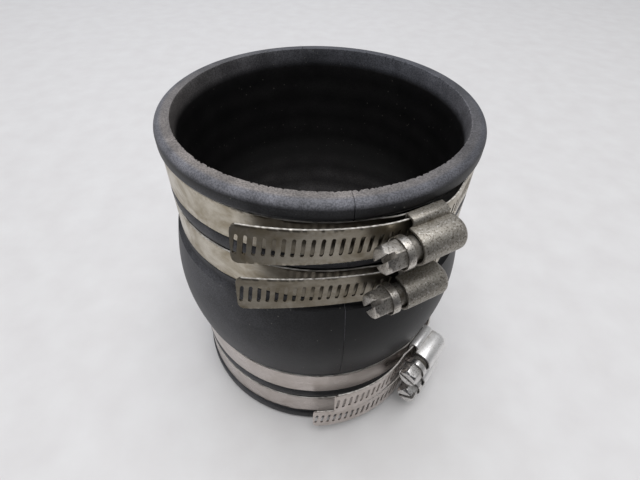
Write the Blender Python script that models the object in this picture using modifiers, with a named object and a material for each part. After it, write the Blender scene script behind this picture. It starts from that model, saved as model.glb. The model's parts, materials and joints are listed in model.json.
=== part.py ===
"""Flexible pipe coupling: a rubber sleeve held by four worm-drive clamps.

The sleeve stands on end with its axis along +Z. Each clamp is a band, a saddle, a housing and
a screw. Units are metres, and the origin is the middle of the footprint on the floor.
"""

import math

import bmesh
import bpy
import numpy as np
from mathutils import Matrix, Vector

# Sleeve, from the bore outwards and from the end face towards the middle
BORE_RADIUS = 0.0508
LENGTH = 0.130
GROOVE_WALL = 0.0044
LIP_HEIGHT = 0.0018
RIB_HEIGHT = 0.0009
LIP_WIDTH = 0.0068
RIB_WIDTH = 0.0063
SHOULDER_WIDTH = 0.0052
BULGE_STEP = 0.0018
BULGE_HEIGHT = 0.0028
BULGE_WALL = 0.0066
LIP_TOP_ROUND = 0.0024
LIP_UNDER_ROUND = 0.0016
RIB_ROUND = 0.0007
BORE_CHAMFER = 0.0012
SLEEVE_STEPS = 48

# Band
BAND_WIDTH = 0.0126
BAND_THICKNESS = 0.00065
BAND_SIDE_CLEARANCE = 0.0002
BAND_SEAT_CLEARANCE = 0.0003
SLOT_PITCH = 0.00265
SLOT_LENGTH = 0.0064
SLOT_WIDTH = 0.00115
SLOT_SLANT = math.radians(-6.5)
SLOT_COUNT = 38
END_TO_SLOT = 0.0015
END_CORNER = 0.0022
PLAIN_CELL = 0.0055
PATH_SAMPLES = 1600
PATH_STEP = 0.0001

# Saddle and housing, across (along the sleeve), along the screw and outwards
PIECE_GAP = 0.00035
LIP_CLEARANCE = 0.0004
SADDLE_THICKNESS = 0.0008
HOUSING_WALL = 0.00075
BAND_TO_WALL = 0.00045
BASE_BACK = 0.0072
BASE_FRONT = 0.0053
BASE_HEIGHT = 0.0038
ARCH_BACK = 0.0107
ARCH_FRONT = 0.0064
DOME_DEPTH = 0.0034
DOME_STEPS = 4
DOME_SWEEP = math.radians(80)
SHOULDER_ROUND = 0.0018
SHOULDER_STEPS = 3
ARCH_STEPS = 12

# Screw
THREAD_RADIUS = 0.0042
CORE_RADIUS = 0.0032
THREAD_CREST = 0.0008
THREAD_ROOT = 0.0016
THREAD_CLEARANCE = 0.00025
THREAD_STEPS = 10
THREAD_SINK = 0.0006
TIP_LENGTH = 0.0008
THREAD_BACK = 0.0055
THREAD_FRONT = 0.0048
NECK_RADIUS = 0.0036
COLLAR_RADIUS = 0.0049
COLLAR_THICKNESS = 0.0027
COLLAR_STANDOFF = 0.0023
COLLAR_CHAMFER = 0.0007
ROUND_STEPS = 18
COLLAR_STEPS = 24
HEX_FLATS = 0.0079
HEX_LENGTH = 0.0057
DRIVER_SLOT_WIDTH = 0.0017
DRIVER_SLOT_DEPTH = 0.0027
TINY = 1e-6

# The band near the housing
FIXED_END_OVERLAP = 0.0054
FIXED_END_RISE = 0.0080
RAMP_SPREAD = 1.15

# Each clamp: the housing's azimuth, the tail's end angle, how far that end stands off, how
# early it lifts (0 late, 1 early), how far its width leans there, and the head's turn.
CLAMPS = {
    "top": dict(azimuth=-60.4, tail_end=-52.0, lift=0.0038, early=-0.3, lean=12, turn=57),
    "upper": dict(azimuth=-61.4, tail_end=-50.5, lift=0.0056, early=-0.3, lean=8, turn=62),
    "lower": dict(azimuth=-38.6, tail_end=-44.2, lift=0.0061, early=0.8, lean=5, turn=-15),
    "bottom": dict(azimuth=-36.0, tail_end=-54.3, lift=0.0035, early=0.9, lean=4, turn=35),
}

# Sizes that follow
GROOVE_RADIUS = BORE_RADIUS + GROOVE_WALL
LIP_RADIUS = GROOVE_RADIUS + LIP_HEIGHT
RIB_RADIUS = GROOVE_RADIUS + RIB_HEIGHT
BULGE_FOOT_RADIUS = RIB_RADIUS + BULGE_STEP
GROOVE_WIDTH = BAND_WIDTH + 2 * BAND_SIDE_CLEARANCE
END_WIDTH = LIP_WIDTH + 2 * GROOVE_WIDTH + RIB_WIDTH
SEATED_BAND = GROOVE_RADIUS + BAND_SEAT_CLEARANCE + BAND_THICKNESS / 2
SADDLE_INNER = LIP_RADIUS + LIP_CLEARANCE
SADDLE_OUTER = SADDLE_INNER + SADDLE_THICKNESS
FIXED_BAND = SADDLE_INNER - PIECE_GAP - BAND_THICKNESS / 2
SLOTTED_BAND = SADDLE_OUTER + PIECE_GAP + BAND_THICKNESS / 2
SCREW_OUT = SLOTTED_BAND + BAND_THICKNESS / 2 + THREAD_CLEARANCE + THREAD_RADIUS
COLLAR_LOW = ARCH_FRONT + COLLAR_STANDOFF
COLLAR_HIGH = COLLAR_LOW + COLLAR_THICKNESS
HOUSING_INSIDE = BAND_WIDTH / 2 + BAND_TO_WALL
HOUSING_HALF_WIDTH = HOUSING_INSIDE + HOUSING_WALL
SADDLE_HALF_WIDTH = HOUSING_INSIDE - PIECE_GAP
ARCH_INNER = THREAD_RADIUS + THREAD_CLEARANCE
ARCH_OUTER = ARCH_INNER + HOUSING_WALL
# Angles round the sleeve, counted from the middle of a clamp's housing
FIXED_END_ANGLE = FIXED_END_OVERLAP / FIXED_BAND
FIXED_END_SEAT = -(BASE_FRONT + HOUSING_WALL) / FIXED_BAND
FIXED_END_LIFTS = FIXED_END_SEAT - FIXED_END_RISE / FIXED_BAND
RAMP_TOP = BASE_BACK / SLOTTED_BAND
RAMP_FOOT = RAMP_TOP + RAMP_SPREAD * math.acos(SEATED_BAND / SLOTTED_BAND)
TAIL_STARTS = -COLLAR_HIGH / SLOTTED_BAND

CLAMP_HEIGHTS = {
    "top": LENGTH - LIP_WIDTH - GROOVE_WIDTH / 2,
    "upper": LENGTH - LIP_WIDTH - RIB_WIDTH - 1.5 * GROOVE_WIDTH,
    "lower": LIP_WIDTH + RIB_WIDTH + 1.5 * GROOVE_WIDTH,
    "bottom": LIP_WIDTH + GROOVE_WIDTH / 2,
}


def new_collection(name):
    collection = bpy.data.collections.new(name)
    bpy.context.scene.collection.children.link(collection)
    return collection


def steel(name, colour, roughness):
    return material(name, colour, roughness, 1.0)


def material(name, colour, roughness, metallic):
    made = bpy.data.materials.new(name)
    made.use_nodes = True
    shader = made.node_tree.nodes["Principled BSDF"]
    shader.inputs["Base Color"].default_value = (*colour, 1.0)
    shader.inputs["Roughness"].default_value = roughness
    shader.inputs["Metallic"].default_value = metallic
    return made


def add_object(name, mesh, collection, parent=None):
    made = bpy.data.objects.new(name, mesh)
    collection.objects.link(made)
    made.parent = parent
    return made


def add_empty(name, collection, parent=None):
    return add_object(name, None, collection, parent)


def mesh_from(name, bm):
    bmesh.ops.recalc_face_normals(bm, faces=bm.faces)
    mesh = bpy.data.meshes.new(name)
    bm.to_mesh(mesh)
    bm.free()
    return mesh


def smooth(mesh, angle=35):
    mesh.shade_smooth()
    mesh.set_sharp_from_angle(angle=math.radians(angle))


def add_cutter(name, bm):
    cutter = add_object(name, mesh_from(name, bm), cutters)
    cutter.hide_render = True
    cutter.display_type = "WIRE"
    return cutter


def add_boolean(target, operation, other):
    boolean = target.modifiers.new(f"{operation.lower()} {other.name}", "BOOLEAN")
    boolean.operation = operation
    boolean.object = other
    boolean.solver = "EXACT"


def evaluated_mesh(obj, name):
    """The object's mesh with its modifiers applied, as a mesh of its own."""
    bpy.context.view_layer.update()
    graph = bpy.context.evaluated_depsgraph_get()
    mesh = bpy.data.meshes.new_from_object(obj.evaluated_get(graph))
    mesh.name = name
    return mesh


def box(bm, low, high):
    size = Vector(high) - Vector(low)
    matrix = Matrix.Translation((Vector(low) + Vector(high)) / 2) @ Matrix.Diagonal((*size, 1))
    return bmesh.ops.create_cube(bm, size=1, matrix=matrix)["verts"]


def cylinder(bm, radius, low, high, segments, matrix=Matrix.Identity(4)):
    """A cylinder along the matrix's Z axis, from low to high."""
    middle = Matrix.Translation((0, 0, (low + high) / 2))
    return bmesh.ops.create_cone(
        bm,
        cap_ends=True,
        segments=segments,
        radius1=radius,
        radius2=radius,
        depth=high - low,
        matrix=matrix @ middle,
    )["verts"]


def extrude_end(bm, face):
    """Extrudes a section's end face. Returns the new end face and its points."""
    covered = len(face.edges[0].link_faces) > 1
    made = bmesh.ops.extrude_face_region(bm, geom=[face])["geom"]
    if covered and face.is_valid:
        bm.faces.remove(face)
    moved = [v for v in made if isinstance(v, bmesh.types.BMVert)]
    return next(f for f in made if isinstance(f, bmesh.types.BMFace)), moved


def arc(centre_r, centre_z, radius, start, end, steps):
    """Points (r, z) on an arc, with angles in degrees from +r towards +z."""
    return [
        (centre_r + radius * math.cos(a), centre_z + radius * math.sin(a))
        for a in np.linspace(math.radians(start), math.radians(end), steps + 1)
    ]


# Sleeve ------------------------------------------------------------------------------------


def outer_half_profile():
    """The outside of the sleeve's upper half, from the top face down to the middle."""
    top = LENGTH
    lip_foot = top - LIP_WIDTH
    rib_top = lip_foot - GROOVE_WIDTH
    rib_foot = rib_top - RIB_WIDTH
    shoulder_top = rib_foot - GROOVE_WIDTH
    bulge_top = shoulder_top - SHOULDER_WIDTH
    points = arc(LIP_RADIUS - LIP_TOP_ROUND, top - LIP_TOP_ROUND, LIP_TOP_ROUND, 90, 0, 3)
    under = lip_foot + LIP_UNDER_ROUND
    points += arc(LIP_RADIUS - LIP_UNDER_ROUND, under, LIP_UNDER_ROUND, 0, -90, 2)
    points += [(GROOVE_RADIUS, lip_foot), (GROOVE_RADIUS, rib_top)]
    points += arc(RIB_RADIUS - RIB_ROUND, rib_top - RIB_ROUND, RIB_ROUND, 90, 0, 1)
    points += arc(RIB_RADIUS - RIB_ROUND, rib_foot + RIB_ROUND, RIB_ROUND, 0, -90, 1)
    points += [(GROOVE_RADIUS, rib_foot), (GROOVE_RADIUS, shoulder_top)]
    points += arc(RIB_RADIUS - RIB_ROUND, shoulder_top - RIB_ROUND, RIB_ROUND, 90, 0, 1)
    points += [(RIB_RADIUS, bulge_top + BULGE_STEP)]
    points += [(bulge_radius(z), z) for z in np.linspace(bulge_top, LENGTH / 2, 5)]
    return points


def bulge_span():
    return LENGTH / 2 - END_WIDTH - SHOULDER_WIDTH


def bulge_radius(z):
    across = (z - LENGTH / 2) / bulge_span()
    return BULGE_FOOT_RADIUS + BULGE_HEIGHT * math.cos(across * math.pi / 2)


def inner_half_profile():
    """The bore of the upper half, from the middle up to the chamfer at the top face."""
    start = LENGTH / 2
    hollow_top = LENGTH - END_WIDTH
    depth = BULGE_FOOT_RADIUS + BULGE_HEIGHT - BULGE_WALL - BORE_RADIUS
    points = []
    for z in np.linspace(start, hollow_top, 4):
        across = (z - start) / (hollow_top - start)
        points.append((BORE_RADIUS + depth * (1 + math.cos(across * math.pi)) / 2, z))
    points.append((BORE_RADIUS, LENGTH - BORE_CHAMFER))
    points.append((BORE_RADIUS + BORE_CHAMFER, LENGTH))
    return points


def add_sleeve(parent):
    outer = outer_half_profile()
    inner = inner_half_profile()
    mirrored = [(r, LENGTH - z) for r, z in reversed(outer[:-1])]
    mirrored_bore = [(r, LENGTH - z) for r, z in reversed(inner[1:])]
    loop = outer + mirrored + mirrored_bore + inner
    bm = bmesh.new()
    verts = [bm.verts.new((r, 0, z)) for r, z in loop]
    for a, b in zip(verts, verts[1:] + verts[:1]):
        bm.edges.new((a, b))
    mesh = bpy.data.meshes.new("sleeve")
    bm.to_mesh(mesh)
    bm.free()
    sleeve = add_object("sleeve", mesh, parts, parent)
    screw = sleeve.modifiers.new("turn", "SCREW")
    screw.steps = SLEEVE_STEPS
    screw.render_steps = SLEEVE_STEPS
    screw.use_merge_vertices = True
    screw.merge_threshold = 0.00001
    screw.use_smooth_shade = True
    mesh.materials.append(rubber)
    return sleeve


# Band --------------------------------------------------------------------------------------


def smooth_step(value):
    value = min(max(value, 0.0), 1.0)
    return value * value * (3 - 2 * value)


def band_radius(angle, clamp):
    """The band's middle radius at an angle that falls from the fixed end to the tail's end."""
    if angle > -math.pi:
        seat = (angle - FIXED_END_LIFTS) / (FIXED_END_SEAT - FIXED_END_LIFTS)
        return SEATED_BAND + (FIXED_BAND - SEATED_BAND) * smooth_step(seat)
    angle += 2 * math.pi
    ramp = (RAMP_FOOT - angle) / (RAMP_FOOT - RAMP_TOP)
    radius = SEATED_BAND + (SLOTTED_BAND - SEATED_BAND) * smooth_step(ramp)
    return radius + clamp["lift"] * tail_rise(tail_share(angle, clamp), clamp)


def tail_share(angle, clamp):
    """How far along the free tail an angle is: 0 up to its start, 1 at its end."""
    end = math.radians(clamp["tail_end"])
    return max(0.0, (TAIL_STARTS - angle) / (TAIL_STARTS - end))


def tail_rise(share, clamp):
    early = clamp["early"]
    return (1 - early) * share**2 + early * (2 * share - share**2)


class BandPath:
    """The band's middle line round the sleeve, read by its distance from the fixed end."""

    def __init__(self, clamp):
        self.clamp = clamp
        end = math.radians(clamp["tail_end"]) - 2 * math.pi
        self.angles = np.linspace(FIXED_END_ANGLE, end, PATH_SAMPLES)
        radii = np.array([band_radius(a, clamp) for a in self.angles])
        self.x = radii * np.cos(self.angles)
        self.y = radii * np.sin(self.angles)
        steps = np.hypot(np.diff(self.x), np.diff(self.y))
        self.distance = np.concatenate([[0.0], np.cumsum(steps)])
        self.length = float(self.distance[-1])

    def place(self, along, outwards, height):
        """Where a point of the flat strip goes once the strip is wrapped."""
        ahead = min(along + PATH_STEP, self.length)
        x, y = (np.interp(along, self.distance, c) for c in (self.x, self.y))
        back = ahead - 2 * PATH_STEP
        dx, dy = (
            np.interp(ahead, self.distance, c) - np.interp(back, self.distance, c)
            for c in (self.x, self.y)
        )
        size = math.hypot(dx, dy)
        normal = Vector((-dy / size, dx / size, 0))
        angle = float(np.interp(along, self.distance, self.angles)) + 2 * math.pi
        share = tail_share(angle, self.clamp) if angle < 0 else 0.0
        lean = -height * math.tan(math.radians(self.clamp["lean"])) * share**2
        return Vector((x, y, height)) + normal * (outwards + lean)


def slot_places(length):
    return [length - END_TO_SLOT - i * SLOT_PITCH for i in range(SLOT_COUNT)]


def flat_strip(name, length):
    """The band before wrapping: length along X, thickness along Y, width along Z."""
    slots = slot_places(length)
    plain = slots[-1] - SLOT_PITCH / 2
    cells = max(2, round(plain / PLAIN_CELL))
    stations = list(np.linspace(0, plain, cells + 1))[1:]
    stations += [s + SLOT_PITCH / 2 for s in reversed(slots[1:])]
    stations += [length - END_CORNER, length]
    bm = bmesh.new()
    half = BAND_WIDTH / 2
    corners = [(-1, -1), (1, -1), (1, 1), (-1, 1)]
    verts = [bm.verts.new((0, y * BAND_THICKNESS / 2, z * half)) for y, z in corners]
    face = bm.faces.new(verts)
    for before, station in zip([0.0] + stations, stations):
        face, moved = extrude_end(bm, face)
        bmesh.ops.translate(bm, verts=moved, vec=(station - before, 0, 0))
    for vert in face.verts:
        vert.co.z *= (half - END_CORNER) / half
    return add_cutter(name, bm)


def slot_cutter(name, length):
    bm = bmesh.new()
    deep = BAND_THICKNESS * 3
    for place in slot_places(length):
        low = (-SLOT_WIDTH / 2, -deep, -SLOT_LENGTH / 2)
        high = (SLOT_WIDTH / 2, deep, SLOT_LENGTH / 2)
        verts = box(bm, low, high)
        turn = Matrix.Rotation(SLOT_SLANT, 4, "Y")
        bmesh.ops.transform(bm, verts=verts, matrix=Matrix.Translation((place, 0, 0)) @ turn)
    return add_cutter(name, bm)


def add_band(name, clamp, parent):
    path = BandPath(clamp)
    strip = flat_strip(f"{name}_strip", path.length)
    add_boolean(strip, "DIFFERENCE", slot_cutter(f"{name}_slots", path.length))
    mesh = evaluated_mesh(strip, name)
    bm = bmesh.new()
    bm.from_mesh(mesh)
    bmesh.ops.triangulate(bm, faces=bm.faces)
    for vert in bm.verts:
        vert.co = path.place(*vert.co)
    bm.to_mesh(mesh)
    bm.free()
    smooth(mesh)
    mesh.materials.append(band_steel)
    return add_object(name, mesh, parts, parent)


# Saddle, housing and screw: X outwards from the sleeve, Y along the screw, Z along the sleeve


def saddle_mesh():
    bm = bmesh.new()
    start, end = -BASE_FRONT / SADDLE_OUTER, BASE_BACK / SADDLE_OUTER
    corners = [(0, -1), (1, -1), (1, 1), (0, 1)]
    verts = [
        bm.verts.new((SADDLE_INNER + r * SADDLE_THICKNESS, 0, z * SADDLE_HALF_WIDTH))
        for r, z in corners
    ]
    face = bm.faces.new(verts)
    bmesh.ops.rotate(bm, verts=verts, matrix=Matrix.Rotation(start, 3, "Z"))
    bmesh.ops.spin(
        bm, geom=[face], axis=(0, 0, 1), cent=(0, 0, 0), angle=end - start, steps=6
    )
    mesh = mesh_from("saddle", bm)
    smooth(mesh)
    mesh.materials.append(saddle_steel)
    return mesh


def rounded_tunnel(bm, radius, foot, front, dome_start, dome_depth):
    """A half round over the screw, with straight sides down to its foot and a domed back."""
    section = [(foot, -radius), (foot, radius)]
    section += [
        (SCREW_OUT + radius * math.sin(a), radius * math.cos(a))
        for a in np.linspace(0, math.pi, ARCH_STEPS + 1)
    ]
    face = bm.faces.new([bm.verts.new((x, -front, z)) for x, z in section])
    face = extrude_section(bm, face, dome_start + front, 1.0)
    size, reached = 1.0, 0.0
    for angle in np.linspace(0, DOME_SWEEP, DOME_STEPS + 1)[1:]:
        step = dome_depth * math.sin(angle) - reached
        face = extrude_section(bm, face, step, math.cos(angle) / size)
        size, reached = math.cos(angle), reached + step


def extrude_section(bm, face, step, scale):
    """Carries a section on along Y, and scales it about the screw's axis."""
    face, moved = extrude_end(bm, face)
    bmesh.ops.translate(bm, verts=moved, vec=(0, step, 0))
    about = Matrix.Translation((-SCREW_OUT, 0, 0))
    bmesh.ops.scale(bm, verts=moved, vec=(scale, 1, scale), space=about)
    return face


def solid(name, *steps):
    """One helper shape joined from closed shapes, each made by a step on its own bmesh."""
    first = bmesh.new()
    steps[0](first)
    base = add_cutter(name, first)
    for number, step in enumerate(steps[1:]):
        bm = bmesh.new()
        step(bm)
        add_boolean(base, "UNION", add_cutter(f"{name}_{number}", bm))
    return base


def housing_form(name, radius, half, low, high, foot, extra):
    """The housing's outside, or with extra length the space inside it."""
    dome_start = ARCH_BACK - DOME_DEPTH
    shoulder_round = SHOULDER_ROUND - (HOUSING_HALF_WIDTH - half)

    def base(bm):
        box(bm, (low, -BASE_FRONT - extra, -half), (high, BASE_BACK + extra, half))
        shoulders = [e for e in bm.edges if all(v.co.x > high - TINY for v in e.verts)]
        shoulders = [e for e in shoulders if abs(e.verts[0].co.z - e.verts[1].co.z) < TINY]
        bevel(bm, shoulders, shoulder_round, SHOULDER_STEPS)

    def tunnel(bm):
        depth = DOME_DEPTH - (ARCH_OUTER - radius)
        rounded_tunnel(bm, radius, foot, ARCH_FRONT + extra, dome_start, depth)

    return solid(name, base, tunnel)


def housing_mesh():
    base_top = SADDLE_INNER + BASE_HEIGHT
    outside = housing_form(
        "housing_outside",
        ARCH_OUTER,
        HOUSING_HALF_WIDTH,
        SADDLE_INNER,
        base_top,
        base_top - HOUSING_WALL / 2,
        0.0,
    )
    inside = housing_form(
        "housing_inside",
        ARCH_INNER,
        HOUSING_INSIDE,
        SADDLE_INNER - BASE_HEIGHT,
        base_top - HOUSING_WALL,
        SADDLE_INNER,
        ARCH_BACK,
    )
    add_boolean(outside, "DIFFERENCE", inside)
    mesh = evaluated_mesh(outside, "housing")
    smooth(mesh)
    mesh.materials.append(housing_steel)
    return mesh


def thread_ridge(bm):
    """The worm's helical ridge, a right-handed trapezoid sunk a little into the core."""
    length = THREAD_BACK + THREAD_FRONT
    turns = length / SLOT_PITCH - 1
    steps = round(turns * THREAD_STEPS)
    sunk = CORE_RADIUS - THREAD_SINK
    section = [
        (sunk, -THREAD_ROOT / 2),
        (THREAD_RADIUS, -THREAD_CREST / 2),
        (THREAD_RADIUS, THREAD_CREST / 2),
        (sunk, THREAD_ROOT / 2),
    ]
    start = -THREAD_BACK + SLOT_PITCH / 2
    verts = [bm.verts.new((r, 0, start + z)) for r, z in section]
    face = bm.faces.new(verts)
    bmesh.ops.spin(
        bm,
        geom=[face],
        axis=(0, 0, 1),
        cent=(0, 0, 0),
        dvec=(0, 0, turns * SLOT_PITCH / steps),
        angle=turns * 2 * math.pi,
        steps=steps,
    )


def screw_mesh():
    """The screw along Z with its head at the top, and its middle where the housing's is."""
    head_high = COLLAR_HIGH + HEX_LENGTH
    sink = COLLAR_THICKNESS / 2

    def core(bm):
        cylinder(bm, CORE_RADIUS, -THREAD_BACK - TIP_LENGTH, THREAD_FRONT + sink, ROUND_STEPS)

    def neck(bm):
        cylinder(bm, NECK_RADIUS, THREAD_FRONT, COLLAR_LOW + sink, ROUND_STEPS)

    def collar(bm):
        cylinder(bm, COLLAR_RADIUS, COLLAR_LOW, COLLAR_HIGH, COLLAR_STEPS)
        rim = [e for e in bm.edges if min(v.co.z for v in e.verts) > COLLAR_HIGH - TINY]
        bevel(bm, rim, COLLAR_CHAMFER, 1)

    def head(bm):
        turn = Matrix.Rotation(math.pi / 6, 4, "Z")
        cylinder(bm, HEX_FLATS / math.sqrt(3), COLLAR_HIGH - sink, head_high, 6, turn)

    screw = solid("screw_blank", core, thread_ridge, neck, collar, head)
    slot = bmesh.new()
    low = (-COLLAR_RADIUS, -DRIVER_SLOT_WIDTH / 2, head_high - DRIVER_SLOT_DEPTH)
    box(slot, low, (COLLAR_RADIUS, DRIVER_SLOT_WIDTH / 2, head_high + DRIVER_SLOT_DEPTH))
    add_boolean(screw, "DIFFERENCE", add_cutter("driver_slot", slot))
    mesh = evaluated_mesh(screw, "screw")
    smooth(mesh)
    mesh.materials.append(screw_steel)
    return mesh


def bevel(bm, edges, width, steps):
    bmesh.ops.bevel(
        bm, geom=edges, offset=width, segments=steps, affect="EDGES", profile=0.5, material=-1
    )


def add_clamp(name, clamp, meshes, parent):
    """One clamp on an empty at the sleeve's axis, with its screw on an empty of its own."""
    turning = add_empty(f"{name}_clamp_axis", parts, parent)
    turning.location = (0, 0, CLAMP_HEIGHTS[name])
    turning.rotation_euler = (0, 0, math.radians(clamp["azimuth"]))
    add_band(f"{name}_band", clamp, turning)
    add_object(f"{name}_saddle", meshes["saddle"], parts, turning)
    add_object(f"{name}_housing", meshes["housing"], parts, turning)
    spinning = add_empty(f"{name}_screw_axis", parts, turning)
    spinning.location = (SCREW_OUT, 0, 0)
    spinning.rotation_euler = (math.pi / 2, 0, 0)
    screw = add_object(f"{name}_screw", meshes["screw"], parts, spinning)
    screw.rotation_euler = (0, 0, math.radians(clamp["turn"]))


def centre_footprint(root):
    """Moves the whole coupling so that the origin is the middle of its footprint."""
    bpy.context.view_layer.update()
    graph = bpy.context.evaluated_depsgraph_get()
    corners = []
    for obj in parts.objects:
        if obj.type != "MESH":
            continue
        evaluated = obj.evaluated_get(graph)
        mesh = evaluated.to_mesh()
        corners += [evaluated.matrix_world @ v.co for v in mesh.vertices]
        evaluated.to_mesh_clear()
    low = [min(c[i] for c in corners) for i in (0, 1)]
    high = [max(c[i] for c in corners) for i in (0, 1)]
    root.location = (-(low[0] + high[0]) / 2, -(low[1] + high[1]) / 2, 0)


for old in list(bpy.data.objects):
    bpy.data.objects.remove(old)

parts = new_collection("pipe_coupling")
cutters = new_collection("cutters")
cutters.hide_render = True
rubber = material("rubber", (0.022, 0.022, 0.024), 0.62, 0.0)
band_steel = steel("band_steel", (0.60, 0.58, 0.54), 0.28)
housing_steel = steel("housing_steel", (0.52, 0.50, 0.46), 0.42)
saddle_steel = steel("saddle_steel", (0.56, 0.54, 0.50), 0.36)
screw_steel = steel("screw_steel", (0.50, 0.49, 0.46), 0.38)

coupling = add_empty("coupling_axis", parts)
add_sleeve(coupling)
shared = {"saddle": saddle_mesh(), "housing": housing_mesh(), "screw": screw_mesh()}
for clamp_name, clamp_facts in CLAMPS.items():
    add_clamp(clamp_name, clamp_facts, shared, coupling)
centre_footprint(coupling)
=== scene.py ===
"""Looks for the flexible pipe coupling.

A rubber sleeve with four worm-drive clamps, each a slotted band, a saddle, a pressed housing and
a slotted hex screw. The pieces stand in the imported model's frame. Lengths are metres.
"""

import json
import math

import bmesh
import bpy
import numpy as np
from mathutils import Matrix, Vector, noise


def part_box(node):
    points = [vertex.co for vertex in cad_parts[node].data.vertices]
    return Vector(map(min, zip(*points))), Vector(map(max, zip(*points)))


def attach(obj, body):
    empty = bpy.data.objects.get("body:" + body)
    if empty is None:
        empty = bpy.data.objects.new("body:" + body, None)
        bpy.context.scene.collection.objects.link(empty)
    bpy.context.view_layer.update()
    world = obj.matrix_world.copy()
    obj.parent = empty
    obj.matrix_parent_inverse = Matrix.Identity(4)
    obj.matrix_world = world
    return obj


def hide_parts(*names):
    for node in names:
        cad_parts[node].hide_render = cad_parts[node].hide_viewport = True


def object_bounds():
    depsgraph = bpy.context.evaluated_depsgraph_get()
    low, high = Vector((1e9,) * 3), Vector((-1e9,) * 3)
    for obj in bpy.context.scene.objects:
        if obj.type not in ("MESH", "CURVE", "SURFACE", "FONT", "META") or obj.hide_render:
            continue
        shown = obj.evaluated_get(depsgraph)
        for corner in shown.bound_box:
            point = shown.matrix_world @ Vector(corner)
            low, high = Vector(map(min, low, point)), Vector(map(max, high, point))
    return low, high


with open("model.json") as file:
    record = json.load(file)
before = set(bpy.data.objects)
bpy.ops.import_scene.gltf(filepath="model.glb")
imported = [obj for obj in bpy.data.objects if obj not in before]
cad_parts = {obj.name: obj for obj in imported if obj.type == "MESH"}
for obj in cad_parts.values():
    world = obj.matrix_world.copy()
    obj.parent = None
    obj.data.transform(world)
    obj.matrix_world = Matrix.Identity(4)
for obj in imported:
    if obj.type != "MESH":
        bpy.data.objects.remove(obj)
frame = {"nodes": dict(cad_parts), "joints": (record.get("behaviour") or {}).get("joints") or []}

cad_low, cad_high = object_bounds()

# Sleeve
BORE_RADIUS = 0.0508
GROOVE_RADIUS = 0.0552
LIP_RADIUS = 0.0570
RIB_RADIUS = 0.0561
BULGE_FOOT_RADIUS = 0.0579
BULGE_HEIGHT = 0.0028
HOLLOW_DEPTH = 0.0033
LIP_WIDTH = 0.0068
RIB_WIDTH = 0.0063
GROOVE_WIDTH = 0.0130
SHOULDER_WIDTH = 0.0052
END_WIDTH = LIP_WIDTH + 2 * GROOVE_WIDTH + RIB_WIDTH
LIP_TOP_ROUND = 0.0024
LIP_UNDER_ROUND = 0.0016
RIM_RADIUS = 0.0516
RIM_DROP = 0.00012
LEAD_IN = 0.0065
SLEEVE_STEPS = 720
SLEEVE_SECTORS = 24
SEAMS = (math.radians(-80.5), math.radians(99.5))
SEAM_RIDGE = 0.00028
SEAM_FLASH = 0.0026
SEAM_NOTCH = 0.0006
LIP_SEAM_DEPTH = 0.0005
SAG = 0.00008
BITE_WIDTH = 0.0008
BITE_DEPTH = 0.0004
# Sides of the sleeve: the top face's dustiest side, the bulge's side with dust and a painted sheen, and the
# front, where the lip's outer round takes a painted highlight
DUSTY_SIDE = math.radians(238)
DUST_AND_SHEEN_SIDE = math.radians(222)
FRONT_SIDE = math.radians(275)

# Band
BAND_WIDTH = 0.0126
BAND_THICKNESS = 0.00065
SLOT_PITCH = 0.00265
SLOT_LENGTH = 0.0064
SLOT_WIDTH = 0.00115
SLOT_SLANT = math.radians(-6.5)
SLOT_COUNT = 38
END_TO_SLOT = 0.0015
END_CORNER = 0.0022
SEATED_BAND = 0.055825
FIXED_BAND = 0.056725
SLOTTED_BAND = 0.058875
PLAIN_CELL = 0.0014
EDGE_ROUND = 0.00016
PATH_STEP = 0.0001
PATH_POINTS = 4000

# Housing
SADDLE_INNER = 0.0574
HOUSING_WALL = 0.00075
HOUSING_HALF_WIDTH = 0.0075
BASE_BACK = 0.0072
BASE_FRONT = 0.0053
BASE_HEIGHT = 0.0038
ARCH_RADIUS = 0.0052
ARCH_BACK = 0.0107
ARCH_FRONT = 0.0064
DOME_DEPTH = 0.0034
SHOULDER_ROUND = 0.0018
ARCH_STEPS = 28
HOUSING_EDGE_ROUND = 0.00018
DOME_STEPS = 9

# Screw
THREAD_RADIUS = 0.0042
CORE_RADIUS = 0.0032
THREAD_CREST = 0.0008
THREAD_ROOT = 0.0016
THREAD_SINK = 0.0006
THREAD_STEPS = 28
THREAD_BACK = 0.0055
THREAD_FRONT = 0.0048
NECK_RADIUS = 0.0036
COLLAR_RADIUS = 0.0049
COLLAR_THICKNESS = 0.0027
COLLAR_LOW = ARCH_FRONT + 0.0023
COLLAR_HIGH = COLLAR_LOW + COLLAR_THICKNESS
HEX_FLATS = 0.0079
HEX_LENGTH = 0.0057
HEAD_HIGH = COLLAR_HIGH + HEX_LENGTH
DRIVER_SLOT_WIDTH = 0.0017
DRIVER_SLOT_DEPTH = 0.0027
HEAD_EDGE_ROUND = 0.00014
TURNED_STEPS = 72

# The band near the housing, as angles from the middle of the housing
FIXED_END_ANGLE = 0.0054 / FIXED_BAND
FIXED_END_SEAT = -(BASE_FRONT + HOUSING_WALL) / FIXED_BAND
FIXED_END_LIFTS = FIXED_END_SEAT - 0.0080 / FIXED_BAND
RAMP_TOP = BASE_BACK / SLOTTED_BAND
RAMP_FOOT = RAMP_TOP + 1.15 * math.acos(SEATED_BAND / SLOTTED_BAND)
TAIL_STARTS = -COLLAR_HIGH / SLOTTED_BAND
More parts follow.
